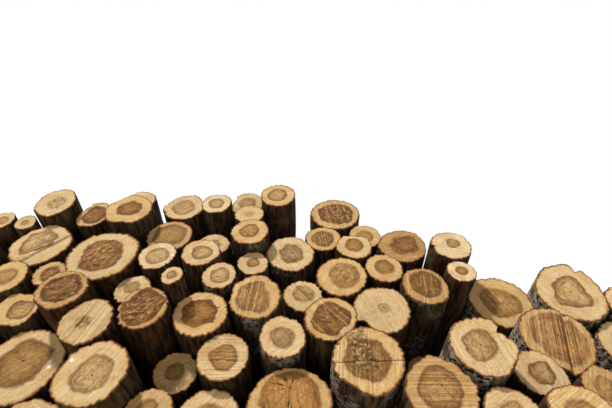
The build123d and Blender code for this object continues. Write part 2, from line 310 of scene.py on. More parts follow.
class Outline:
    """A closed line round a middle, seen along Y, that can be asked for its point in any direction."""

    def __init__(self, points, middle):
        self.middle = middle
        ordered = sorted((atan2(point.z - middle.z, point.x - middle.x), point) for point in points)
        self.turns = [turn for turn, point in ordered]
        self.points = [point for turn, point in ordered]

    def at(self, turn):
        """Where the line is crossed in a direction from the middle."""
        turn = half_turned(turn)
        following = bisect_right(self.turns, turn)
        one = self.points[following - 1]
        two = self.points[following % len(self.points)]
        ray = Vector((cos(turn), sin(turn)))
        along = flat(two - one)
        start = flat(one - self.middle)
        cross = along.x * ray.y - along.y * ray.x
        share = (start.y * ray.x - start.x * ray.y) / cross if abs(cross) > NO_CROSSING else 0.5
        return one + (two - one) * clamped(share)

    def share_of(self, point):
        """How far a point lies from the middle to the line, from 0 to 1."""
        x, z = point.x - self.middle.x, point.z - self.middle.z
        away = hypot(x, z)
        if away < NO_LENGTH:
            return 0
        edge = self.at(atan2(z, x))
        return min(1, away / hypot(edge.x - self.middle.x, edge.z - self.middle.z))


class EndPlane:
    """The plane of a sawn end, laid through points of its rim with the least squares."""

    def __init__(self, points):
        self.middle = middle_of(points)
        xx = xz = zz = xy = zy = 0.0
        for point in points:
            off = point - self.middle
            xx += off.x ** 2
            xz += off.x * off.z
            zz += off.z ** 2
            xy += off.x * off.y
            zy += off.z * off.y
        whole = xx * zz - xz * xz
        self.lean_x = (xy * zz - zy * xz) / whole
        self.lean_z = (zy * xx - xy * xz) / whole

    def laid(self, point):
        """The point, moved along Y into the plane."""
        y = self.middle.y + self.lean_x * (point.x - self.middle.x) + self.lean_z * (point.z - self.middle.z)
        return Vector((point.x, y, point.z))


# The mesh of a log, in metres; a grain is the number of noise cells in a metre. Corners of the CAD log this
# near its first or last one belong to that end
END_DEPTH = 0.2
# Columns of corners round the bark, and how far behind the butt its rows lie. FRONT_ROWS have two corners a
# column, on photographed ends only
COLUMN_WIDTH = 0.0125
MOST_COLUMNS = 90
FEWEST_COLUMNS = 36
FRONT_ROWS = (0, 0.0025, 0.007, 0.014, 0.024)
ROWS = (
    0.038, 0.056, 0.08, 0.11, 0.145, 0.185, 0.23, 0.29, 0.36, 0.44, 0.53, 0.64, 0.76, 0.9,
    1.05, 1.2, 1.36, 1.52, 1.7, 1.88, 2.06, 2.24, 2.42,
)
PLAIN_ROWS = (0, 0.01, 0.03) + ROWS[1::2]
# Rings of corners on a sawn end: share of the way from the pith to the rim, and every how many columns
FACE_RINGS = (
    (0.985, 1), (0.965, 1), (0.935, 1), (0.89, 2), (0.83, 2), (0.76, 2), (0.68, 2),
    (0.6, 2), (0.52, 4), (0.44, 4), (0.36, 4), (0.27, 8), (0.18, 8), (0.09, 16),
)
PLAIN_RINGS = ((0.96, 1), (0.85, 2), (0.65, 2), (0.45, 4), (0.25, 8))
# Furrows and wider lumps of the bark. A stretch below 1 makes them longer than wide
BARK_DEPTH = 0.008
FURROW_GRAIN = 32
FURROW_STRETCH = 0.15
FURROW_SHARPNESS = 2.6
FURROW_SHARE = 0.75
LUMP_GRAIN = 5
LUMP_STRETCH = 0.5
LUMP_SHARE = 0.4
# Fraying just behind the butt, in coarse and fine noise: (cells in a radian, cells in a metre)
FRAY_DEPTH = 0.0045
FRAY_LENGTH = 0.03
FRAY_MEAN = 0.35
FRAY_OF_ROUGH = 0.9
COARSE_FRAY = (9, 25)
FINE_FRAY = (26, 40)
FINE_FRAY_SHARE = 0.5
CHIP_LENGTH = 0.07
# A strip's wall, how far off it in radii a corner may be, how steeply its ends fade, how torn ones vary
WALL = 0.0025
STRIP_DOUBT = 0.15
STRIP_FADE = 8
RAGGED_SHARE = 0.7
RAGGED_GRAIN = 60
# Corners keep this far off a line where the face breaks, and lie this far apart on it
BREAK_CLEARANCE = 0.0035
BREAK_SPACING = 0.008
BREAK_HALVINGS = 30
# Unevenness of a sawn end, which stays flat outside FLAT_RIM of the way to the rim
FACE_LUMP = 0.0022
FACE_LUMP_GRAIN = 22
TORN_LUMP = 0.0035
TORN_LUMP_GRAIN = 70
FLAT_RIM = 0.97
# How the edge of the heartwood wobbles: noise cells in a radian
WOBBLE_CELLS = 1.3
FINE_WOBBLE_CELLS = 3.2
FINE_WOBBLE_SHARE = 0.3
FINE_WOBBLE_SEED = 9
# White bark shows most on the -X side, where the key light falls, and least towards +X: painted light
BIRCH_MEAN = 0.6
BIRCH_LIT_SIDE_SWING = 0.4
LAST_SEED = 50
SPOT_SIDES = 8
# The triangulation's output type, and how near two places are one to it
INSIDE_ONLY = 1
SAME_PLACE = 1e-6
# Which of the two materials a face has
SAWN, BARK = 0, 1


def grain_noise(point, grain, seed, stretch=0.0):
    """Noise from -1 to 1 at a point; stretch is the share of the grain that it has along Y."""
    return noise(Vector((point.x * grain, point.y * grain * stretch + seed, point.z * grain)))


def round_noise(turn, cells, seed):
    """Noise from -1 to 1 in a direction, closed after a full turn."""
    return noise(Vector((cos(turn) * cells, sin(turn) * cells, seed)))


def bark_relief(point, seed):
    """How far the bark is eaten in at a point, from 0 to BARK_DEPTH."""
    furrow = 1 - abs(grain_noise(point, FURROW_GRAIN, seed, FURROW_STRETCH)) * FURROW_SHARPNESS
    lumps = 0.5 + 0.5 * grain_noise(point, LUMP_GRAIN, seed, LUMP_STRETCH)
    return BARK_DEPTH * clamped(FURROW_SHARE * max(0, furrow) ** 2 + LUMP_SHARE * lumps)


class Drawing:
    """Corners, faces and painted values of the logs of one course."""

    def __init__(self):
        self.points = []
        self.faces = []
        self.kinds = []
        self.values = defaultdict(list)

    def corner(self, point, painted):
        """Adds a corner with its painted values, and gives its number."""
        self.points.append(point)
        for name, value in painted.items():
            self.values[name].append(value)
        return len(self.points) - 1

    def face(self, corners, kind):
        """Adds a face of one of the two materials."""
        self.faces.append(corners)
        self.kinds.append(kind)

    def join(self, row, following):
        """Faces of the bark between two rings of corners."""
        for column in range(len(row)):
            after = (column + 1) % len(row)
            self.face((row[column], following[column], following[after], row[after]), BARK)

    def join_halved(self, fine, coarse):
        """Faces of the bark between a ring of corners and one with half as many."""
        for column in range(len(coarse)):
            after = (column + 1) % len(coarse)
            around = (fine[2 * column], coarse[column], coarse[after], fine[2 * after], fine[2 * column + 1])
            self.face(around, BARK)


def chained(places, outline, breaks):
    """Adds places along each line where a face breaks, and gives the edges between them."""
    edges = []
    for way, offset, ends in breaks:
        first, last = [
            min(range(len(outline.points)), key=lambda index: (outline.points[index] - end).length)
            for end in ends
        ]
        pieces = max(1, round((places[last] - places[first]).length / BREAK_SPACING))
        chain = [first] + list(range(len(places), len(places) + pieces - 1)) + [last]
        places += [places[first].lerp(places[last], piece / pieces) for piece in range(1, pieces)]
        edges += list(zip(chain, chain[1:]))
    return edges


class Log:
    """One log of the heap: its skin, its sawn ends and its look."""

    def __init__(self, points, number):
        chance = random.Random(number)
        first = min(point.y for point in points)
        last = max(point.y for point in points)
        front = [point for point in points if point.y < first + END_DEPTH]
        back = [point for point in points if point.y > last - END_DEPTH]
        self.middle = middle_of(front)
        place = self.middle - SHIFT
        self.look, self.seen = chosen_look(place.x, place.z, chance)
        self.strips, self.chips, self.spots = [
            [mark for mark in marks if near(mark, place.x, place.z)] for marks in (STRIPS, CHIPS, SPOTS)
        ]
        # The farthest corner stands in for the radius until the outline of the butt is known
        self.radius = max((point - self.middle).length for point in front)
        self.plane = EndPlane([point for point in front if not self.sawn_lower(point)])
        self.middle = self.plane.laid(self.middle)
        self.butt = Outline([self.plane.laid(point) for point in front], self.middle)
        self.top_middle = middle_of(back)
        self.top = Outline(back, self.top_middle)
        rim = self.butt.points
        self.radius = sum((one - two).length for one, two in zip(rim, rim[-1:] + rim[:-1])) / 2 / pi
        self.length = (self.top_middle - self.middle).length
        self.seed = chance.uniform(0, LAST_SEED)
        look = self.look
        self.tones = {"tone": TONES[look.tone], "sap": SAPS[look.sap], "bark": BARKS[look.bark]}
        self.pith = self.middle + Vector((look.pith[0], 0, look.pith[1])) * self.radius * PITH_REACH

    def across(self, x, z, way):
        """How far a place lies off the middle of the butt in a direction, seen along Y."""
        return (x - self.middle.x) * cos(way) + (z - self.middle.z) * sin(way)

    def sawn_lower(self, point):
        """Whether a corner of the rim is, or may be, on a part that was sawn off lower."""
        for strip in self.strips:
            across = self.across(point.x, point.z, radians(strip.direction))
            if strip.end > 1 and across > (strip.start - STRIP_DOUBT) * self.radius:
                return True
        return False

    def chipped(self, turn):
        """How deep the rim is broken away in a direction."""
        depth = 0
        for chip in self.chips:
            off = abs(half_turned(turn - radians(chip.direction))) / radians(chip.width)
            depth = max(depth, chip.depth * MM * (1 - min(1, off)))
        return depth

    def frayed(self, turn, behind):
        """How far the bark is frayed away in a direction, so far behind the butt."""
        coarse, fine = [
            noise(Vector((turn * in_radian, self.seed, behind * in_metre)))
            for in_radian, in_metre in (COARSE_FRAY, FINE_FRAY)
        ]
        depth = FRAY_DEPTH * (1 + FRAY_OF_ROUGH * self.look.rough) * max(0, 1 - behind / FRAY_LENGTH)
        return depth * (FRAY_MEAN + (coarse + FINE_FRAY_SHARE * fine))

    def skin(self, turn, behind):
        """Point of the bark in a direction, so far behind the butt, and the axis of the log there."""
        share = behind / self.length
        point = self.butt.at(turn)
        point = point + (self.top.at(turn) - point) * share
        axis = self.middle + (self.top_middle - self.middle) * share
        inward = Vector((axis.x - point.x, 0, axis.z - point.z)).normalized()
        chip = self.chipped(turn) * max(0, 1 - behind / CHIP_LENGTH)
        eaten = bark_relief(point, self.seed) + self.frayed(turn, behind) + chip
        return point + inward * max(0, eaten), axis

    def off_face(self, point):
        """(metres that the face lies deeper, how torn it is) at a point of the butt."""
        deeper, torn = 0, 0
        here = flat(point - self.middle)
        for strip in self.strips:
            way = Vector((cos(radians(strip.direction)), sin(radians(strip.direction))))
            across = here.dot(way)
            along = (way.x * here.y - way.y * here.x) / self.radius
            inside = clamped((across - strip.start * self.radius) / WALL)
            if strip.end < 1:
                inside = min(inside, clamped((strip.end * self.radius - across) / WALL))
            inside *= clamped((along - strip.low) * STRIP_FADE) * clamped((strip.high - along) * STRIP_FADE)
            ragged = 1 + strip.torn * RAGGED_SHARE * grain_noise(point, RAGGED_GRAIN, self.seed)
            deeper += strip.depth * MM * inside * ragged
            torn = max(torn, strip.torn * inside)
        return deeper, torn

    def edges_of_strips(self):
        """(direction, offset in metres) of each line along which the face breaks."""
        lines = []
        for strip in self.strips:
            way = radians(strip.direction)
            for share, wall in ((strip.start, WALL), (strip.end, -WALL)):
                if abs(share) < 1:
                    lines += [(way, share * self.radius), (way, share * self.radius + wall)]
        return lines

    def crossings(self, way, offset):
        """The two directions in which a line across the butt meets its rim."""
        found = []
        for side in (1, -1):
            inner, outer = way, way + side * pi
            for _ in range(BREAK_HALVINGS):
                half = (inner + outer) / 2
                point = self.skin(half, 0)[0]
                if self.across(point.x, point.z, way) - offset > 0:
                    inner = half
                else:
                    outer = half
            found.append(inner % (2 * pi))
        return found

    def spot_places(self):
        """(middle, radius in metres, sign) of each spot on the butt, seen along Y."""
        found = []
        for spot in self.spots:
            x = self.middle.x + spot.right * self.radius
            z = self.middle.z + spot.up * self.radius
            found.append((Vector((x, z)), spot.size * MM, spot.sign))
        return found

    def painted(self, point, share, turn, pith, torn, behind):
        """Values and colours that the materials read at one corner."""
        look = self.look
        off = point - pith
        wobble = round_noise(turn, WOBBLE_CELLS, self.seed)
        wobble += FINE_WOBBLE_SHARE * round_noise(turn, FINE_WOBBLE_CELLS, self.seed + FINE_WOBBLE_SEED)
        return {
            "cut": (off.x, off.z, self.seed),
            "share": share,
            "grown": share,
            "heart": look.heart * (1 + look.wobble * wobble),
            "saw": off.z * cos(radians(look.saw)) - off.x * sin(radians(look.saw)),
            "seed": self.seed,
            "ring": look.ring,
            "rough": look.rough,
            "depth": look.depth,
            "star": look.star,
            "torn": torn,
            "behind": behind,
            # How much white bark shows, more of it on the lit -X side: painted light
            "birch_and_lit_side": BIRCH.get(look.bark, 0.0) * (BIRCH_MEAN - BIRCH_LIT_SIDE_SWING * cos(turn)),
            "spot": 0,
            **self.tones,
        }

    def face_places(self, outline, pith, rings, breaks, spots):
        """Where a sawn end has its corners, seen along Y: first the rim, then what lies inside it."""
        inside = []
        for share, step in rings:
            for edge in outline.points[::step]:
                inside.append(flat(pith + (edge - pith) * share))
        inside.append(flat(pith))
        for way, offset, ends in breaks:
            inside = [
                place for place in inside
                if abs(self.across(place.x, place.y, way) - offset) > BREAK_CLEARANCE
            ]
        for middle, size, sign in spots:
            inside.append(middle)
            for side in range(SPOT_SIDES):
                turn = 2 * pi * side / SPOT_SIDES
                inside.append(middle + Vector((cos(turn), sin(turn))) * size)
        return [flat(point) for point in outline.points] + inside

    def draw_face(self, drawing, rim, pith, rings, faces_front, breaks):
        """A sawn end inside a rim of points, with finer and finer rings towards the rim."""
        outline = Outline(rim, pith)
        count = len(outline.points)
        spots = self.spot_places() if faces_front else []
        places = self.face_places(outline, pith, rings, breaks, spots)
        edges = chained(places, outline, breaks)
        made = delaunay_2d_cdt(places, edges, [list(range(count))], INSIDE_ONLY, SAME_PLACE)
        places, _, triangles, origins = made[:4]
        plane = self.plane if faces_front else EndPlane(outline.points)
        grown = Outline((self.butt if faces_front else self.top).points, pith)
        look = self.look
        corners = []
        for place, origin in zip(places, origins):
            point = plane.laid(Vector((place.x, 0, place.y)))
            turn = atan2(point.z - pith.z, point.x - pith.x)
            share = outline.share_of(point)
            deeper, torn = self.off_face(point) if faces_front else (0, 0)
            lump = FACE_LUMP * grain_noise(point, FACE_LUMP_GRAIN, self.seed)
            if share < look.heart:
                lump += TORN_LUMP * look.rough * grain_noise(point, TORN_LUMP_GRAIN, self.seed)
            point.y += deeper + lump * (share < FLAT_RIM)
            if origin and origin[0] < count:
                point.y = outline.points[origin[0]].y
            values = self.painted(point, share, turn, pith, torn, 0)
            values["grown"] = grown.share_of(point)
            for middle, size, sign in spots:
                away = hypot(point.x - middle.x, point.z - middle.y)
                values["spot"] += sign * max(0, 1 - away / size)
            corners.append(drawing.corner(point, values))
        for triangle in triangles:
            order = triangle if faces_front else triangle[::-1]
            drawing.face([corners[index] for index in order], SAWN)

    def columns(self, lines):
        """The directions of the columns, with one at both ends of each line where the face breaks."""
        count = int(min(MOST_COLUMNS, max(FEWEST_COLUMNS, 2 * pi * self.radius / COLUMN_WIDTH)))
        crowded = 2 * pi / count / 3
        ends = [turn for way, offset, both in lines for turn in both]
        turns = [2 * pi * column / count for column in range(count)]
        turns = [turn for turn in turns if all(abs(half_turned(turn - end)) > crowded for end in ends)]
        return sorted(turns + ends)

    def row(self, drawing, turns, behind):
        """One ring of corners round the bark, so far behind the butt."""
        row = []
        for turn in turns:
            point, axis = self.skin(turn, behind)
            start = self.off_face(self.skin(turn, 0)[0])[0] if self.strips else 0
            point = point + Vector((0, start * (1 - behind / self.length), 0))
            row.append(drawing.corner(point, self.painted(point, 1, turn, axis, 0, behind)))
        return row

    def draw(self, drawing):
        """Adds the log to a drawing."""
        lines = [(way, offset, self.crossings(way, offset)) for way, offset in self.edges_of_strips()]
        turns = self.columns(lines)
        rows, step = [], 1
        if self.seen:
            fine_turns = []
            for turn, following in zip(turns, turns[1:] + [turns[0] + 2 * pi]):
                fine_turns += [turn, (turn + following) / 2]
            rows = [self.row(drawing, fine_turns, behind) for behind in FRONT_ROWS]
            step = 2
            for row, following in zip(rows, rows[1:]):
                drawing.join(row, following)
        behinds = ROWS if self.seen else PLAIN_ROWS
        coarse = [self.row(drawing, turns, behind) for behind in behinds + (self.length,)]
        if self.seen:
            drawing.join_halved(rows[-1], coarse[0])
        for row, following in zip(coarse, coarse[1:]):
            drawing.join(row, following)
        rows += coarse

        rim = [drawing.points[index].copy() for index in rows[0]]
        ends = dict(zip(turns, rim[::step]))
        breaks = [(way, offset, [ends[turn] for turn in both]) for way, offset, both in lines]
        self.draw_face(drawing, rim, self.pith, FACE_RINGS if self.seen else PLAIN_RINGS, True, breaks)
        rim = [drawing.points[index].copy() for index in rows[-1]]
        self.draw_face(drawing, rim, self.top_middle, PLAIN_RINGS, False, [])


# How a mesh keeps the painted values that aren't plain numbers
COLOUR = ("FLOAT_COLOR", "color")
LAYERS = {"cut": ("FLOAT_VECTOR", "vector"), "tone": COLOUR, "sap": COLOUR, "bark": COLOUR}


def finished(drawing, name, materials):
    """The mesh object of a drawing."""
    mesh = bpy.data.meshes.new(name)
    mesh.from_pydata(drawing.points, [], drawing.faces)
    for layer, values in drawing.values.items():
        kind, field = LAYERS.get(layer, ("FLOAT", "value"))
        if layer in LAYERS:
            values = [part for value in values for part in value]
        mesh.attributes.new(layer, kind, "POINT").data.foreach_set(field, values)
    for material in materials:
        mesh.materials.append(material)
    mesh.polygons.foreach_set("material_index", drawing.kinds)
    mesh.polygons.foreach_set("use_smooth", [True] * len(drawing.faces))
    mesh.update()
    piece = bpy.data.objects.new(name, mesh)
    bpy.context.scene.collection.objects.link(piece)
    return piece


class Shader:
    """Short names for the nodes of one material. A value is a number, a colour or a socket."""

    def __init__(self, name):
        self.material = bpy.data.materials.new(name)
        self.material.use_nodes = True
        self.tree = self.material.node_tree
        self.surface = self.tree.nodes["Principled BSDF"]

    def node(self, kind, inputs=(), **settings):
        """A new node with its settings and inputs."""
        made = self.tree.nodes.new(kind)
        for setting, value in settings.items():
            setattr(made, setting, value)
        for socket, value in dict(inputs).items():
            self.put(made.inputs[socket], value)
        return made

    def put(self, socket, value):
        """Links a socket to an input or sets a constant."""
        if isinstance(value, bpy.types.NodeSocket):
            self.tree.links.new(value, socket)
        else:
            socket.default_value = value

    def read(self, name, output="Fac"):
        """A value that the mesh is painted with."""
        return self.node("ShaderNodeAttribute", attribute_name=name).outputs[output]

    def math(self, operation, *values):
        made = self.node("ShaderNodeMath", operation=operation)
        for socket, value in zip(made.inputs, values):
            self.put(socket, value)
        return made.outputs[0]

    def times(self, *values):
        product = values[0]
        for value in values[1:]:
            product = self.math("MULTIPLY", product, value)
        return product

    def plus(self, *values):
        total = values[0]
        for value in values[1:]:
            total = self.math("ADD", total, value)
        return total

    def around(self, noise_value, width):
        """A noise made to swing to both sides of zero."""
        return self.times(self.plus(noise_value, -0.5), width)

    def vector(self, operation, *values):
        made = self.node("ShaderNodeVectorMath", operation=operation)
        for socket, value in zip(made.inputs, values):
            self.put(socket, value)
        return made.outputs["Vector"]

    def combine(self, x, y, z):
        return self.node("ShaderNodeCombineXYZ", {"X": x, "Y": y, "Z": z}).outputs[0]

    def between(self, value, low, high, to_low=0.0, to_high=1.0):
        """Goes smoothly from to_low to to_high while the value goes from low to high."""
        inputs = {"Value": value, "From Min": low, "From Max": high, "To Min": to_low, "To Max": to_high}
        return self.node("ShaderNodeMapRange", inputs, interpolation_type="SMOOTHSTEP").outputs["Result"]

    def noise(self, vector, scale, detail=3.0, roughness=0.55):
        """Noise from 0 to 1, mostly near a half."""
        inputs = {"Vector": vector, "Scale": scale, "Detail": detail, "Roughness": roughness}
        return self.node("ShaderNodeTexNoise", inputs).outputs["Fac"]

    def mix(self, factor, one, two, blend="MIX"):
        """One colour under another that has the factor as its strength."""
        made = self.node("ShaderNodeMix", data_type="RGBA", blend_type=blend)
        self.put(made.inputs["Factor"], factor)
        self.put(made.inputs[6], one)
        self.put(made.inputs[7], two)
        return made.outputs[2]

    def stained(self, colour, stains, patterns, where=()):
        """A colour with stains laid over it in turn, only where all the masks are."""
        for stain in stains:
            factor = self.between(patterns[stain.pattern], stain.low, stain.high, 0.0, stain.strength)
            colour = self.mix(self.times(*where, factor), colour, stain.colour, stain.blend)
        return colour

    def finish(self, colour, roughness, specular, height, strength, distance):
        """Gives the surface its colour, sheen and bump."""
        bump = self.node("ShaderNodeBump", {"Height": height, "Strength": strength, "Distance": distance})
        inputs = self.surface.inputs
        self.put(inputs["Base Color"], colour)
        self.put(inputs["Roughness"], roughness)
        self.put(inputs["Specular IOR Level"], specular)
        self.put(inputs["Normal"], bump.outputs[0])


# A colour that is laid over others while a pattern goes from low to high
Stain = namedtuple("Stain", "pattern low high strength colour blend", defaults=("MIX",))
Grain = namedtuple("Grain", "scale detail roughness", defaults=(0.55,))

# Noises on a sawn end, with their cells in a metre
FACE_GRAINS = {
    "patches": Grain(11.0, 3.0),
    "lumps": Grain(26.0, 3.0),
    "fine": Grain(150.0, 4.0, 0.7),
    "torn": Grain(62.0, 5.0, 0.78),
    "worn": Grain(17.0, 2.0),
    "warm": Grain(7.0, 2.0),
    "grit": Grain(80.0, 5.0, 0.8),
    "ragged": Grain(45.0, 4.0, 0.7),
}
# Noises round the pith: cells round it, cells from it to the rim, detail and roughness
Rounds = namedtuple("Rounds", "turning outward detail roughness")
BANDS = Rounds(1.2, 17.0, 5.0, 0.72)
RAYS = Rounds(15.0, 1.5, 4.0, 0.7)
CRACKS = Rounds(2.6, 0.35, 1.0, 0.5)
# Lines in the saw's direction: cells in a metre across them, how they waver, detail and roughness
Sawing = namedtuple("Sawing", "cells waver detail roughness")
MARKS = Sawing(120.0, 1.6, 3.0, 0.65)
FIBRES = Sawing(420.0, 7.0, 3.0, 0.7)
# Streaks of torn heartwood: cells in a metre, and how many more across the saw's direction
STREAK_CELLS = 40.0
STREAK_MORE = 55.0
STREAKS = Grain(1.0, 5.0, 0.75)

SAP_STAINS = [
    Stain("patches", 0.4, 0.7, 0.55, tint(196, 154, 96)),
    Stain("bands", 0.48, 0.66, 0.42, tint(172, 128, 74)),
    Stain("fibres", 0.5, 0.7, 0.45, tint(164, 122, 72)),
    Stain("fibres", 0.46, 0.32, 0.75, tint(252, 232, 188)),
    Stain("fine", 0.5, 0.66, 0.4, tint(156, 112, 64)),
]
HEART_RINGS = [Stain("bands", 0.48, 0.6, 0.62, tint(112, 74, 38))]
HEART_STAINS = [
    Stain("rays", 0.5, 0.68, 0.35, tint(104, 70, 38)),
    Stain("fibres", 0.45, 0.3, 0.4, tint(206, 168, 114)),
    Stain("fine", 0.5, 0.66, 0.4, tint(92, 58, 28)),
]
TORN_HEART_STAINS = [
    Stain("streaks", 0.48, 0.56, 1.0, tint(60, 36, 16)),
    Stain("streaks", 0.46, 0.37, 1.0, tint(218, 164, 94)),
]
TORN_STRIP_STAINS = [
    Stain("torn", 0.42, 0.58, 0.8, tint(96, 64, 34)),
    Stain("torn", 0.5, 0.36, 0.8, tint(226, 190, 132)),
]
GRIT_STAINS = [
    Stain("warm", 0.58, 0.72, 0.35, tint(178, 118, 58)),
    Stain("grit", 0.5, 0.62, 0.2, tint(190, 164, 136), "MULTIPLY"),
    Stain("grit", 0.47, 0.36, 0.07, tint(250, 228, 186)),
]
SPOT_STAINS = [
    Stain("pith", 0.055, 0.03, 1.0, tint(70, 44, 24)),
    Stain("knot", 0.3, 0.5, 1.0, tint(34, 22, 14)),
    # Near-white flecks: painted highlights
    Stain("splinter_glint", -0.3, -0.5, 1.0, tint(252, 240, 214)),
]
HEART_SHADE = tint(176, 146, 116)
HEART_LIGHT = tint(232, 178, 108)
OUTER_RING = tint(110, 70, 34)
INNER_RING = tint(104, 68, 34)
SAW_MARK = tint(116, 78, 40)
SAW_LIFTED = tint(236, 202, 146)
CRACK = tint(44, 28, 16)
INNER_BARK = tint(186, 120, 60)
CUT_BARK = (tint(126, 90, 56), tint(64, 44, 28))


def face_patterns(s):
    """Painted values, noises and masks of a sawn end by name."""
    place = s.read("cut", "Vector")
    at = {name: s.read(name) for name in "share heart saw seed ring rough depth star spot".split()}
    at["strip"] = s.read("torn")
    at.update({name: s.noise(place, *grain) for name, grain in FACE_GRAINS.items()})
    share, saw, seed, ring = at["share"], at["saw"], at["seed"], at["ring"]
    way = s.vector("NORMALIZE", s.vector("MULTIPLY", place, (1.0, 1.0, 0.0)))

    def round_pith(rounds, outward, second):
        turned = s.vector("MULTIPLY", way, (rounds.turning, rounds.turning, 0.0))
        moved = s.combine(seed, second, s.times(outward, rounds.outward))
        return s.noise(s.vector("ADD", turned, moved), 1.0, rounds.detail, rounds.roughness)

    def along_saw(sawing, waver):
        lines = s.combine(s.times(saw, sawing.cells), seed, s.times(waver, sawing.waver))
        return s.noise(lines, 1.0, sawing.detail, sawing.roughness)

    more = s.times(saw, STREAK_MORE)
    even = s.vector("MULTIPLY", place, (STREAK_CELLS, STREAK_CELLS, 1.0))
    at["streaks"] = s.noise(s.vector("ADD", even, s.combine(more, 0.0, more)), *STREAKS)
    blotches = s.plus(0.06, s.times(at["rough"], 0.2))
    edge = s.plus(s.read("grown"), s.around(at["lumps"], 0.15), s.around(at["torn"], blotches))
    at["bands"] = round_pith(BANDS, edge, seed)
    at["rays"] = round_pith(RAYS, share, seed)
    crack = s.math("ABSOLUTE", s.plus(round_pith(CRACKS, share, 0.0), -0.5))
    at["cracks"] = s.times(s.between(crack, 0.009, 0.003), s.between(share, 0.75, 0.35), at["star"])
    at["marks"] = along_saw(MARKS, at["lumps"])
    at["fibres"] = along_saw(FIBRES, at["patches"])

    at["past_heart"] = past_heart = s.math("SUBTRACT", edge, at["heart"])
    at["rough"] = s.times(at["rough"], s.between(at["worn"], 0.36, 0.56, 0.35, 1.0))
    soft = s.plus(0.12, s.times(ring, -0.07))
    at["in_heart"] = s.between(past_heart, soft, s.times(soft, -1.0))
    for name, inwards, width in (("outer_ring", 0.03, 0.075), ("inner_ring", 0.17, 0.06)):
        off_ring = s.math("ABSOLUTE", s.plus(past_heart, inwards))
        at[name] = s.times(s.between(off_ring, width, 0.0), ring)
    at["pith"] = s.plus(share, s.times(at["fine"], 0.03))
    at["knot"] = s.plus(at["spot"], s.around(at["torn"], 0.5))
    # Where the painted highlights of the light flecks lie
    at["splinter_glint"] = s.plus(at["spot"], s.around(at["torn"], 0.9))
    at["rim"] = s.plus(share, s.around(at["ragged"], 0.06))
    return at


def sawn_material():
    """Sapwood, heartwood, rings, saw marks, cracks and the bark's edge on a sawn end."""
    s = Shader("sawn_wood")
    at = face_patterns(s)
    in_heart, rough, depth, ring = at["in_heart"], at["rough"], at["depth"], at["ring"]
    past_heart, marks, bands = at["past_heart"], at["marks"], at["bands"]
    tone = s.read("tone", "Color")

    sap = s.stained(s.read("sap", "Color"), SAP_STAINS, at)
    core = s.stained(tone, HEART_RINGS, at)
    core = s.mix(s.times(s.between(past_heart, -0.3, -0.03, 0.0, 0.6), ring), core, HEART_SHADE, "MULTIPLY")
    core = s.mix(s.between(past_heart, -0.1, -0.45, 0.0, 0.4), core, s.mix(0.5, tone, HEART_LIGHT))
    core = s.stained(core, HEART_STAINS, at)
    wood = s.mix(in_heart, sap, core)
    wood = s.stained(wood, TORN_HEART_STAINS, at, where=(in_heart, rough))
    wood = s.mix(s.times(at["outer_ring"], 0.72), wood, OUTER_RING)
    wood = s.mix(s.times(at["inner_ring"], s.between(bands, 0.4, 0.6), 0.4), wood, INNER_RING)
    marked = s.times(depth, s.between(marks, 0.5, 0.6), s.between(in_heart, 0.0, 1.0, 0.24, 1.0))
    wood = s.mix(marked, wood, SAW_MARK)
    lifted = s.times(depth, s.between(marks, 0.45, 0.36), s.between(in_heart, 0.0, 1.0, 0.38, 0.3))
    wood = s.mix(lifted, wood, SAW_LIFTED)
    wood = s.stained(wood, TORN_STRIP_STAINS, at, where=(at["strip"],))
    wood = s.stained(wood, GRIT_STAINS, at)
    wood = s.mix(at["cracks"], wood, CRACK)
    wood = s.stained(wood, SPOT_STAINS, at)
    orange = s.times(s.between(at["rim"], 0.905, 0.95), s.between(at["lumps"], 0.4, 0.6, 0.3, 0.9))
    wood = s.mix(orange, wood, INNER_BARK)
    bark = s.mix(s.between(at["torn"], 0.4, 0.6), *CUT_BARK)
    wood = s.mix(s.between(at["rim"], 0.958, 0.97), wood, bark)

    height = s.times(marks, depth, 1.2)
    for name, weight in (("fine", 0.35), ("fibres", 0.4), ("bands", 0.4)):
        height = s.plus(height, s.times(at[name], weight))
    torn_open = s.plus(s.times(in_heart, rough), at["strip"])
    height = s.plus(height, s.times(at["torn"], torn_open, 1.6), s.times(at["cracks"], -1.0))
    s.finish(wood, roughness=0.85, specular=0.2, height=height, strength=1.0, distance=0.008)
    return s.material


# Noises of the bark. The long ones have LONG_SHARE of their cells along the log
LONG_GRAINS = {"furrows": Grain(55.0, 5.0, 0.7), "plates": Grain(20.0, 4.0, 0.6)}
ROUND_GRAINS = {"patches": Grain(6.0, 4.0, 0.6), "scars": Grain(42.0, 4.0, 0.7)}
LONG_SHARE = 0.14
BARK_STAINS = [
    Stain("plates", 0.5, 0.7, 0.45, tint(116, 90, 62)),
    Stain("patches", 0.55, 0.7, 0.3, tint(96, 88, 60)),
]
FURROW_DARK = tint(34, 24, 15)
BIRCH_WHITE = tint(158, 147, 128)
BIRCH_SCAR = tint(28, 22, 18)
FRAYED = tint(150, 102, 56)


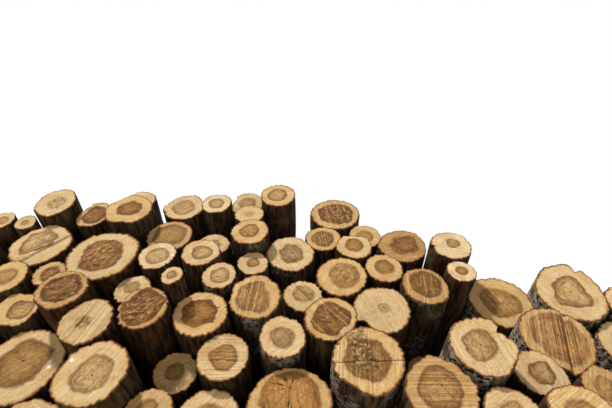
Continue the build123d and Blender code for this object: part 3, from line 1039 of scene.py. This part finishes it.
def bark_material():
    """Furrowed bark, white with black scars on some logs and more so on the lit left (painted light), torn
    and bright behind the cut.
    """
    s = Shader("bark")
    seed, behind, birch_and_lit_side = s.read("seed"), s.read("behind"), s.read("birch_and_lit_side")
    place = s.node("ShaderNodeTexCoord").outputs["Object"]
    moved = s.vector("ADD", place, s.combine(0.0, seed, 0.0))
    long_grain = s.vector("MULTIPLY", moved, (1.0, LONG_SHARE, 1.0))
    at = {name: s.noise(long_grain, *grain) for name, grain in LONG_GRAINS.items()}
    at.update({name: s.noise(moved, *grain) for name, grain in ROUND_GRAINS.items()})

    colour = s.mix(s.between(at["furrows"], 0.6, 0.4), s.read("bark", "Color"), FURROW_DARK)
    colour = s.stained(colour, BARK_STAINS, at)
    white = s.mix(s.between(at["scars"], 0.5, 0.54), BIRCH_WHITE, BIRCH_SCAR)
    # White bark patches, more of them on the lit left side: painted light
    peeled = s.between(s.plus(at["patches"], s.times(birch_and_lit_side, 0.16)), 0.56, 0.62)
    colour = s.mix(s.times(peeled, s.math("MINIMUM", s.times(birch_and_lit_side, 2.0), 1.0)), colour, white)
    frayed = s.between(s.plus(behind, s.around(at["plates"], 0.02)), 0.007, 0.002)
    colour = s.mix(s.times(frayed, 0.8), colour, FRAYED)
    height = s.plus(at["furrows"], s.times(at["plates"], 0.8))
    s.finish(colour, roughness=0.92, specular=0.15, height=height, strength=0.9, distance=0.012)
    return s.material


MATERIALS = [sawn_material(), bark_material()]
number = 0
for node_name, node in sorted(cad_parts.items()):
    drawing = Drawing()
    for points in islands(node):
        Log(points, number).draw(drawing)
        number += 1
    piece = finished(drawing, node_name.replace("logs_course", "wood_course"), MATERIALS)
    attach(piece, "root")
    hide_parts(node_name)

# The studio, in metres
FLOOR_SIZE = 60
FLOOR_COLOUR = (0.8, 0.8, 0.79, 1)
FLOOR_ROUGHNESS = 0.9
LIT_MIDDLE = (0.0, 0.0, 1.2)
SUN_WIDTH = radians(5)
SOFT_WIDTH = 5.0
WHITE = (1, 1, 1, 1)
WORLD_STRENGTH = 0.12


def aimed_light(name, kind, place, aim, energy):
    """A light that looks at a point."""
    light = bpy.data.lights.new(name, kind)
    light.energy = energy
    lamp = bpy.data.objects.new(name, light)
    lamp.location = place
    lamp.rotation_euler = (Vector(aim) - Vector(place)).to_track_quat("-Z", "Y").to_euler()
    bpy.context.scene.collection.objects.link(lamp)
    return lamp


def studio_world():
    """Faint white light from all round, before a pure white background."""
    world = bpy.data.worlds.new("studio")
    world.use_nodes = True
    tree = world.node_tree
    faint = tree.nodes["Background"]
    shown = tree.nodes.new("ShaderNodeBackground")
    for paper, strength in ((faint, WORLD_STRENGTH), (shown, 1.0)):
        paper.inputs["Color"].default_value = WHITE
        paper.inputs["Strength"].default_value = strength
    path = tree.nodes.new("ShaderNodeLightPath")
    seen_ray = path.outputs["Is Camera Ray"]
    for other_ray in ("Is Glossy Ray", "Is Transmission Ray"):
        either = tree.nodes.new("ShaderNodeMath")
        either.operation = "MAXIMUM"
        tree.links.new(seen_ray, either.inputs[0])
        tree.links.new(path.outputs[other_ray], either.inputs[1])
        seen_ray = either.outputs[0]
    choice = tree.nodes.new("ShaderNodeMixShader")
    for socket, source in enumerate((seen_ray, faint.outputs[0], shown.outputs[0])):
        tree.links.new(source, choice.inputs[socket])
    tree.links.new(choice.outputs[0], tree.nodes["World Output"].inputs["Surface"])
    return world


bpy.ops.mesh.primitive_plane_add(size=FLOOR_SIZE, location=(0, 0, 0))
floor = bpy.context.object
floor.name = "stage_floor"
floor_look = Shader("stage_pale")
floor_look.put(floor_look.surface.inputs["Base Color"], FLOOR_COLOUR)
floor_look.put(floor_look.surface.inputs["Roughness"], FLOOR_ROUGHNESS)
floor.data.materials.append(floor_look.material)

key = aimed_light("stage_key", "SUN", (-6.8, -12.2, 14.2), (0.0, -1.2, 1.4), 4.2)
key.data.angle = SUN_WIDTH
fill = aimed_light("stage_fill", "AREA", (7.0, -4.0, 5.0), LIT_MIDDLE, 60)
back = aimed_light("stage_back", "AREA", (-2.0, 8.0, 6.0), LIT_MIDDLE, 400)
for soft in (fill, back):
    soft.data.size = SOFT_WIDTH
bpy.context.scene.world = studio_world()

# Where the photo was taken from: close to the heap and low, with a wide lens tilted well up. EYE is in metres
# in the part's own coordinates, the sensor in mm
EYE = Vector((0.0, -1.6, 0.2))
PITCH = radians(52)
FOCAL_PIXELS = 390
PHOTO_WIDTH = 612
SENSOR_WIDTH = 36.0
NEAREST_SEEN = 0.02
camera_data = bpy.data.cameras.new("photo_camera")
camera_data.lens = SENSOR_WIDTH * FOCAL_PIXELS / PHOTO_WIDTH
camera_data.sensor_width = SENSOR_WIDTH
camera_data.clip_start = NEAREST_SEEN
camera = bpy.data.objects.new("photo_camera", camera_data)
camera.location = EYE + SHIFT
camera.rotation_euler = (pi / 2 + PITCH, 0, 0)
bpy.context.scene.collection.objects.link(camera)
bpy.context.scene.camera = camera
bpy.context.scene.view_settings.view_transform = "Standard"
